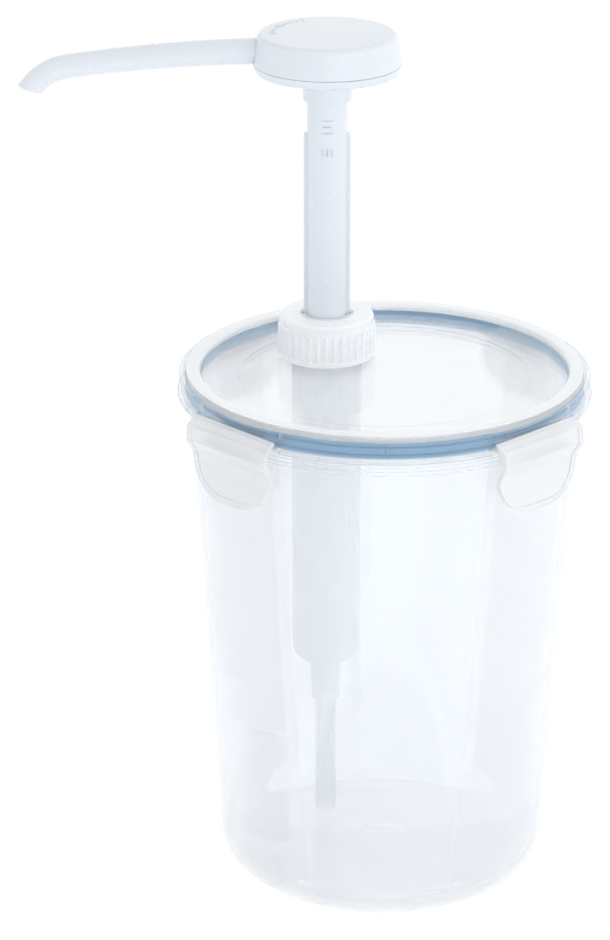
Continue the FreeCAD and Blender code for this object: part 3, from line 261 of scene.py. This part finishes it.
class Finish:
    """A Principled material whose colour, roughness and surface are varied by procedural nodes."""

    def __init__(self, name, **constants):
        self.material = bpy.data.materials.new(name)
        self.material.use_nodes = True
        self.nodes = self.material.node_tree.nodes
        self.links = self.material.node_tree.links
        self.shader = self.nodes["Principled BSDF"]
        for socket, value in constants.items():
            self.shader.inputs[socket.replace("_", " ")].default_value = value
        self.place = self.nodes.new("ShaderNodeTexCoord").outputs["Object"]
        self.bump = None

    def pattern(self, scale, detail=4.0, stretch=(1, 1, 1), kind="FBM"):
        """Noise in metres of the object, stretched along an axis if asked."""
        mapping = self.nodes.new("ShaderNodeMapping")
        mapping.inputs["Scale"].default_value = stretch
        noise = self.nodes.new("ShaderNodeTexNoise")
        noise.noise_type = kind
        noise.inputs["Scale"].default_value = scale
        noise.inputs["Detail"].default_value = detail
        noise.inputs["Roughness"].default_value = 0.55
        self.links.new(self.place, mapping.inputs["Vector"])
        self.links.new(mapping.outputs["Vector"], noise.inputs["Vector"])
        return noise.outputs["Fac"]

    def range(self, value, low, high, start=0.3, end=0.7):
        """The value carried from start..end to low..high."""
        change = self.nodes.new("ShaderNodeMapRange")
        change.inputs["From Min"].default_value = start
        change.inputs["From Max"].default_value = end
        change.inputs["To Min"].default_value = low
        change.inputs["To Max"].default_value = high
        self.links.new(value, change.inputs["Value"])
        return change.outputs["Result"]

    def mix(self, factor, first, second):
        """Two colours mixed by a factor; either may be an output."""
        mixer = self.nodes.new("ShaderNodeMix")
        mixer.data_type = "RGBA"
        self.links.new(factor, mixer.inputs["Factor"])
        for socket, value in ((mixer.inputs[6], first), (mixer.inputs[7], second)):
            if isinstance(value, bpy.types.NodeSocket):
                self.links.new(value, socket)
            else:
                socket.default_value = (*value, 1)
        return mixer.outputs[2]

    def edges(self, low, high):
        """One on the sharp outside edges of the mesh when low is below high, and one down in hollows such as
        grooves when low is above high; nothing elsewhere.
        """
        shape = self.nodes.new("ShaderNodeNewGeometry")
        return self.range(shape.outputs["Pointiness"], 0.0, 1.0, low, high)

    def sum(self, operation, first, second=None):
        """A math node; either value may be an output or a number."""
        node = self.nodes.new("ShaderNodeMath")
        node.operation = operation
        for socket, value in zip(node.inputs, (first, second)):
            if isinstance(value, bpy.types.NodeSocket):
                self.links.new(value, socket)
            elif value is not None:
                socket.default_value = value
        return node.outputs[0]

    def top_band(self, inner, outer, level, soft=BAND_SOFT):
        """One on the part of the object between two radii and above a level, nothing elsewhere."""
        split = self.nodes.new("ShaderNodeSeparateXYZ")
        self.links.new(self.place, split.inputs["Vector"])
        wide = self.sum("POWER", split.outputs["X"], 2)
        deep = self.sum("POWER", split.outputs["Y"], 2)
        radius = self.sum("SQRT", self.sum("ADD", wide, deep))
        found = self.range(split.outputs["Z"], 0.0, 1.0, level - soft, level)
        found = self.sum("MULTIPLY", found, self.range(radius, 0.0, 1.0, inner - soft, inner))
        return self.sum("MULTIPLY", found, self.range(radius, 1.0, 0.0, outer, outer + soft))

    def tone(self, colour_now, depth, scale=38):
        """Base colour that drifts a little over the surface, as moulded plastic does."""
        dark = tuple(c * (1 - depth) for c in colour_now)
        made = self.mix(self.range(self.pattern(scale), 0.0, 1.0), dark, tuple(colour_now))
        self.links.new(made, self.shader.inputs["Base Color"])
        return made

    def gloss(self, low, high, scale=260, stretch=(1, 1, 1)):
        """Roughness that varies between two values."""
        made = self.range(self.pattern(scale, stretch=stretch), low, high)
        self.links.new(made, self.shader.inputs["Roughness"])
        return made

    def relief(self, scale, height, strength=1.0, stretch=(1, 1, 1), detail=3.0):
        """Bump of a real height in metres, added over any bump already there."""
        bump = self.nodes.new("ShaderNodeBump")
        bump.inputs["Distance"].default_value = height
        bump.inputs["Strength"].default_value = strength
        self.links.new(self.pattern(scale, detail, stretch), bump.inputs["Height"])
        if self.bump is not None:
            self.links.new(self.bump.outputs["Normal"], bump.inputs["Normal"])
        self.links.new(bump.outputs["Normal"], self.shader.inputs["Normal"])
        self.bump = bump
        return bump


def clear_plastic(name, tint, clarity, skin, low, high, frosted=None):
    """Clear moulded plastic: a little haze, faint flow lines down the wall and fine handling marks.

    frosted is the (inside radius, outside radius, level) of a band that is moulded with a frosted top.
    """
    finish = Finish(name, IOR=PLASTIC_IOR, Transmission_Weight=clarity, Alpha=skin)
    finish.tone(tint, 0.02, 24)
    finish.gloss(low, high, 90)
    finish.relief(60, 0.00004, 0.12, stretch=(1, 1, 0.08), detail=2)
    if frosted is not None:
        band = finish.top_band(*frosted)
        for socket, plain, milky in (
            ("Transmission Weight", clarity, FROST_CLARITY), ("Alpha", skin, FROST_SKIN),
        ):
            finish.links.new(finish.range(band, plain, milky, 0.0, 1.0), finish.shader.inputs[socket])
    return finish.material


def white_plastic(name, base, low=0.2, high=0.28):
    """White moulded plastic with a fine satin grain and faint flow marks."""
    finish = Finish(name, IOR=PLASTIC_IOR)
    finish.tone(base, 0.012, 22)
    finish.gloss(low, high, 160)
    finish.relief(1400, 0.000006, 0.12)
    finish.relief(30, 0.00008, 0.04, stretch=(1, 1, 0.3), detail=1)
    return finish.material


def seal_rubber(name, base, dark):
    """Blue seal: matt skin with a fine bloom, and painted shade that darkens the colour down in the grooves.
    """
    finish = Finish(name, IOR=RUBBER_IOR, Transmission_Weight=0.1)
    plain = finish.mix(finish.range(finish.pattern(120), 0.0, 1.0), tuple(c * 0.93 for c in base), base)
    # painted shade: the seal's colour turns to the dark groove colour in its hollows, found by pointiness
    made = finish.mix(finish.edges(0.505, 0.47), plain, dark)
    finish.links.new(made, finish.shader.inputs["Base Color"])
    finish.gloss(0.38, 0.55, 300)
    finish.relief(2200, 0.00001, 0.4)
    return finish.material


def milky_plastic(name, base):
    """Milky barrel plastic that lets the parts inside show faintly."""
    finish = Finish(name, IOR=PLASTIC_IOR, Transmission_Weight=0.1)
    finish.tone(base, 0.02, 40)
    finish.gloss(0.25, 0.38, 120, stretch=(1, 1, 0.2))
    finish.relief(80, 0.00005, 0.2, stretch=(1, 1, 0.1), detail=2)
    return finish.material


def steel(name, base, low, high):
    """Bright steel with fine drawing marks."""
    finish = Finish(name, Metallic=1.0)
    finish.tone(base, 0.08, 400)
    finish.gloss(low, high, 900)
    finish.relief(1800, 0.000008, 0.3)
    return finish.material


def dress(material, *names):
    """Give CAD nodes a material."""
    for name in names:
        for slot in NODES[name].material_slots:
            slot.material = material


# Operators ----------------------------------------------------------------------------------


class DressCanister(bpy.types.Operator):
    """Give the canister its clear plastic"""

    bl_idname = "canister.dress_canister"
    bl_label = "Canister"

    def execute(self, context):
        finish = context.scene.canister_finish
        made = clear_plastic(
            "clear_canister_plastic", finish.canister_tint, finish.clarity, finish.skin, 0.13, 0.19,
        )
        dress(made, "container")
        return {"FINISHED"}


class DressLid(bpy.types.Operator):
    """Give the lid and its four latches their clear plastic"""

    bl_idname = "canister.dress_lid"
    bl_label = "Lid and latches"

    def execute(self, context):
        finish = context.scene.canister_finish
        ridge = (finish.ridge_inner, finish.ridge_outer, finish.ridge_level)
        made = clear_plastic(
            "clear_lid_plastic", finish.lid_tint, finish.lid_clarity, finish.lid_skin, 0.05, 0.12, ridge,
        )
        dress(made, "lid")
        flap = clear_plastic("clear_latch_plastic", finish.latch_tint, finish.latch_clarity, 0.85, 0.1, 0.2)
        dress(flap, *[name for name in NODES if name.startswith("latch_")])
        return {"FINISHED"}


class MakeSeal(bpy.types.Operator):
    """Make the grooved blue seal with the joint where its ends meet"""

    bl_idname = "canister.make_seal"
    bl_label = "Soft seal"

    def execute(self, context):
        sizes, finish = context.scene.seal_sizes, context.scene.canister_finish
        low, high = SEAL_LOW.z + SEAL_INSET, SEAL_HIGH.z - SEAL_INSET
        rise, wide, soft = high - low, sizes.outer - sizes.inner, SEAL_SOFT
        steps = SEAL_STEPS
        profile = []
        for i in range(steps + 1):
            t = i / steps
            groove = sizes.groove * (0.5 - 0.5 * math.cos(2 * math.pi * sizes.grooves * t)) ** 4
            nose = soft * (max(0.0, abs(2 * t - 1) - (1 - SEAL_ROUND)) / SEAL_ROUND) ** 2
            profile.append((sizes.outer - groove - nose, low + rise * t))
        for i in range(1, steps):
            t = i / steps
            dip = SEAL_DIP * math.sin(math.pi * 3 * t) ** 2
            profile.append((sizes.outer - soft - (wide - 2 * soft) * t, high - dip))
        profile += [(sizes.inner + soft, high), (sizes.inner, high - soft)]
        profile += [(sizes.inner, low + soft), (sizes.inner + soft, low)]
        profile += [
            (sizes.inner + wide * t / 8, low + SEAL_FOOT_DIP * math.sin(math.pi * t / 8)) for t in range(2, 7)
        ]
        front = -math.pi / 2
        fine = [front + math.radians(0.06 * k) for k in range(-20, 21)]
        turns = sorted([front + math.radians(1.25 + k * 357.5 / 400) for k in range(401)] + fine[1:-1])
        vertices = []
        for radius, level in profile:
            for turn in turns:
                away = radius * (turn - front)
                if away > math.pi * radius:
                    away -= 2 * math.pi * radius
                cut = SEAL_CUT * math.exp(-((away / (sizes.seam / 2)) ** 2))
                if radius <= sizes.outer - SEAL_CUT_DEEP:
                    cut = 0
                reach = radius - cut
                vertices.append(Vector((reach * math.cos(turn), reach * math.sin(turn), level)))
        seal = make_object("seal_ring", vertices, ring_faces(len(profile), len(turns)), SHARP_SEAL)
        blue = seal_rubber("blue_seal", tuple(finish.seal_colour), tuple(finish.seal_groove_shade))
        seal.data.materials.append(blue)
        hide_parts("lid_gasket")
        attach(seal, "canister")
        return {"FINISHED"}


class DressPump(bpy.types.Operator):
    """Give barrel, stem, guide, collar, head and seals their plastics"""

    bl_idname = "canister.dress_pump"
    bl_label = "Pump"

    def execute(self, context):
        finish = context.scene.pump_finish
        white = white_plastic("white_moulded", tuple(finish.white))
        dress(white, "stem_guide", "stem", "spout_head", "head_cap")
        # painted light: a lighter copy of the white plastic for the collar, to offset the shade it sits in
        dress(white_plastic("collar_white_brightened", tuple(finish.collar), 0.24, 0.34), "collar")
        inside = white_plastic("white_inside", tuple(finish.white), 0.3, 0.42)
        dress(inside, "piston_holder", "piston_retainer", "inlet_cage")
        soft = white_plastic("soft_white", tuple(finish.washer), 0.42, 0.55)
        dress(soft, "neck_gasket", "piston_cup")
        dress(milky_plastic("milky_barrel", tuple(finish.milky)), "pump_cylinder")
        dress(clear_plastic("clear_tube_plastic", finish.milky, 0.7, 0.6, 0.12, 0.2), "dip_tube")
        dress(steel("ball_steel", tuple(finish.steel), 0.08, 0.14), "inlet_ball", "outlet_ball")
        return {"FINISHED"}


class MakeSpring(bpy.types.Operator):
    """Wind the return spring, with closed turns at both ends"""

    bl_idname = "canister.make_spring"
    bl_label = "Return spring"

    def execute(self, context):
        sizes = context.scene.spring_sizes
        bottom, top = SPRING_LOW.z + sizes.wire, SPRING_HIGH.z - sizes.wire
        per_turn, pitch = SPRING_PER_TURN, SPRING_CLOSED * sizes.wire
        total = sizes.turns + 2 * sizes.dead
        open_pitch = (top - bottom - 2 * sizes.dead * pitch) / sizes.turns
        path = []
        for i in range(int(total * per_turn) + 1):
            turn = i / per_turn
            middle = min(max(turn - sizes.dead, 0), sizes.turns)
            level = bottom + pitch * (turn - middle) + open_pitch * middle
            angle = 2 * math.pi * turn
            x = PUMP_X + sizes.coil * math.cos(angle)
            y = PUMP_Y + sizes.coil * math.sin(angle)
            path.append(Vector((x, y, level)))
        vertices, faces = tube(path, SPRING_SIDES, sizes.wire)
        spring = make_object("spring_wire", vertices, faces, SHARP_SEAL)
        drawn = steel("spring_wire_steel", tuple(context.scene.pump_finish.steel), 0.18, 0.3)
        spring.data.materials.append(drawn)
        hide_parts("return_spring")
        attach(spring, "pump")
        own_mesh(spring)
        return {"FINISHED"}


class MakeCapMarks(bpy.types.Operator):
    """Raise a row of plain ticks on the cap, at the back left"""

    bl_idname = "canister.make_cap_marks"
    bl_label = "Cap marks"

    def execute(self, context):
        sizes = context.scene.cap_marks
        cap = NODES["head_cap"]
        surface = BVHTree.FromPolygons(
            [v.co for v in cap.data.vertices], [tuple(p.vertices) for p in cap.data.polygons],
        )

        def top(x, y):
            hit = surface.ray_cast(Vector((x, y, CAP_HIGH.z + 0.01)), Vector((0, 0, -1)))[0]
            if hit is None:
                raise RuntimeError("a tick lies off the cap")
            return hit.z

        parts = []
        for i in range(sizes.count):
            turn = sizes.start + sizes.sweep * i / max(1, sizes.count - 1)
            out = Vector((math.cos(turn), math.sin(turn), 0))
            side = Vector((-out.y, out.x, 0))
            reach = sizes.long * (1.0 if i % LONG_EVERY == 0 else TICK_SHORT)
            rows, columns = TICK_ROWS, TICK_COLUMNS
            vertices = []
            for a in range(rows):
                u = 2 * a / (rows - 1) - 1
                for b in range(columns):
                    v = 2 * b / (columns - 1) - 1
                    spot = Vector((PUMP_X, PUMP_Y, 0)) + out * (sizes.radius + u * reach / 2)
                    spot += side * (v * sizes.wide / 2)
                    crown = max(0.0, 1 - abs(u) ** 8) ** 0.5 * max(0.0, 1 - abs(v) ** 4) ** 0.5
                    rim = -TICK_RIM if crown == 0 else 0
                    level = top(spot.x, spot.y) + sizes.tall * crown + rim
                    vertices.append(Vector((spot.x, spot.y, level)))
            faces = [
                (a * columns + b, a * columns + b + 1, (a + 1) * columns + b + 1, (a + 1) * columns + b)
                for a in range(rows - 1) for b in range(columns - 1)
            ]
            under = [Vector((v.x, v.y, v.z)) for v in vertices]
            start = len(vertices)
            border = list(range(columns))
            border += [a * columns + columns - 1 for a in range(1, rows)]
            border += [(rows - 1) * columns + b for b in range(columns - 2, -1, -1)]
            border += [a * columns for a in range(rows - 2, 0, -1)]
            vertices += [under[k] - Vector((0, 0, TICK_SINK)) for k in border]
            n = len(border)
            faces += [
                (border[k], start + k, start + (k + 1) % n, border[(k + 1) % n]) for k in range(n)
            ]
            faces.append(tuple(start + k for k in range(n)))
            parts.append((vertices, faces))
        marks = joined("cap_ticks", parts, SHARP_TICK)
        marks.data.materials.append(bpy.data.materials["white_moulded"])
        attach(marks, "plunger")
        return {"FINISHED"}


class SetStage(bpy.types.Operator):
    """Lay the floor, set the studio lights and the camera"""

    bl_idname = "canister.set_stage"
    bl_label = "Floor, light and camera"

    @staticmethod
    def white_to_camera(nodes, links, usual, white, output):
        """Show plain white where the stage is seen directly, and leave its light on the object as it is."""
        seen = nodes.new("ShaderNodeLightPath")
        chosen = nodes.new("ShaderNodeMixShader")
        links.new(seen.outputs["Is Camera Ray"], chosen.inputs[0])
        links.new(usual.outputs[0], chosen.inputs[1])
        links.new(white.outputs[0], chosen.inputs[2])
        links.new(chosen.outputs[0], output.inputs["Surface"])

    def execute(self, context):
        scene, settings = context.scene, context.scene.stage_settings
        rings, around, reach = FLOOR_RINGS, FLOOR_AROUND, FLOOR_REACH
        vertices = []
        for i in range(rings):
            radius = reach * ((i + 1) / rings) ** 2
            vertices += [
                Vector((
                    radius * math.cos(2 * math.pi * k / around),
                    radius * math.sin(2 * math.pi * k / around),
                    -FLOOR_DROP,
                ))
                for k in range(around)
            ]
        faces = ring_faces(rings, around, close=False)
        faces.append(tuple(range(around)))
        floor = make_object("studio_floor", vertices, faces)
        finish = Finish("pale_floor", IOR=FLOOR_IOR)
        finish.tone(tuple(settings.floor), 0.01, 3)
        finish.gloss(0.55, 0.65, 40)
        finish.relief(300, 0.00002, 0.1)
        finish.shader.inputs["Emission Color"].default_value = (0.97, 0.985, 1.0, 1)
        finish.shader.inputs["Emission Strength"].default_value = settings.glow
        floor.data.materials.append(finish.material)
        lit = finish.nodes.new("ShaderNodeEmission")
        lit.inputs["Color"].default_value = (1, 1, 1, 1)
        self.white_to_camera(finish.nodes, finish.links, finish.shader, lit, finish.nodes["Material Output"])

        world = bpy.data.worlds.new("studio")
        world.use_nodes = True
        nodes, links = world.node_tree.nodes, world.node_tree.links
        fill = nodes["Background"]
        fill.inputs["Color"].default_value = (0.965, 0.985, 1.0, 1)
        where = nodes.new("ShaderNodeTexCoord")
        lean = nodes.new("ShaderNodeVectorMath")
        lean.operation = "DOT_PRODUCT"
        lean.inputs[1].default_value = settings.lean
        links.new(where.outputs["Generated"], lean.inputs[0])
        level = nodes.new("ShaderNodeMath")
        level.inputs[1].default_value = settings.sky
        links.new(lean.outputs["Value"], level.inputs[0])
        links.new(level.outputs["Value"], fill.inputs["Strength"])
        plain = nodes.new("ShaderNodeBackground")
        plain.inputs["Color"].default_value = (1, 1, 1, 1)
        self.white_to_camera(nodes, links, fill, plain, nodes["World Output"])
        scene.world = world

        aim = Vector((0, 0, 0.18))
        for name, spot, wide, tall, power in (
            ("key_soft", Vector((-0.9, -0.5, 1.5)), 1.0, 1.0, settings.key),
            ("front_soft", Vector((0.55, -1.25, 0.42)), 1.3, 0.8, settings.front),
            ("left_strip", Vector((-1.3, 0.25, 0.55)), 0.25, 1.2, settings.rim),
            ("right_strip", Vector((1.3, 0.1, 0.6)), 0.3, 1.2, settings.rim),
        ):
            data = bpy.data.lights.new(name, "AREA")
            data.shape = "RECTANGLE"
            data.size, data.size_y = wide, tall
            data.energy = power
            data.color = (1.0, 0.99, 0.98)
            light = bpy.data.objects.new(name, data)
            scene.collection.objects.link(light)
            light.location = spot
            light.rotation_euler = (aim - spot).to_track_quat("-Z", "Y").to_euler()

        data = bpy.data.cameras.new("camera")
        data.lens = settings.lens
        data.sensor_width = 36
        data.clip_start, data.clip_end = 0.05, 50
        camera = bpy.data.objects.new("camera", data)
        scene.collection.objects.link(camera)
        camera.location = (-0.0097, -1.2212, 0.6646)
        camera.rotation_euler = (math.pi / 2 - 0.3837, 0, 0.01816)
        scene.camera = camera
        scene.view_settings.view_transform = "Standard"
        scene.view_settings.look = "None"
        return {"FINISHED"}


class CanisterPanel(bpy.types.Panel):
    """Lists the pieces and their sizes"""

    bl_idname = "VIEW3D_PT_canister"
    bl_label = "Pump canister"
    bl_space_type = "VIEW_3D"
    bl_region_type = "UI"
    bl_category = "Canister"

    def draw(self, context):
        for operator in OPERATORS:
            self.layout.operator(operator.bl_idname)
        for name, group in GROUPS.items():
            box = self.layout.box()
            for field in group.__annotations__:
                box.prop(getattr(context.scene, name), field)


GROUPS = {
    "canister_finish": CanisterFinish,
    "pump_finish": PumpFinish,
    "seal_sizes": SealSizes,
    "spring_sizes": SpringSizes,
    "cap_marks": CapMarks,
    "stage_settings": StageSettings,
}
OPERATORS = (DressCanister, DressLid, MakeSeal, DressPump, MakeSpring, MakeCapMarks, SetStage)


def register():
    """Register the classes and hang the settings on the scene."""
    for cls in (*GROUPS.values(), *OPERATORS, CanisterPanel):
        bpy.utils.register_class(cls)
    for name, group in GROUPS.items():
        setattr(bpy.types.Scene, name, bpy.props.PointerProperty(type=group))


def unregister():
    """Undo register."""
    for name in GROUPS:
        delattr(bpy.types.Scene, name)
    for cls in reversed((*GROUPS.values(), *OPERATORS, CanisterPanel)):
        bpy.utils.unregister_class(cls)


def main():
    """Make every piece."""
    register()
    for operator in OPERATORS:
        group, name = operator.bl_idname.split(".")
        getattr(getattr(bpy.ops, group), name)()


if __name__ == "__main__":
    main()
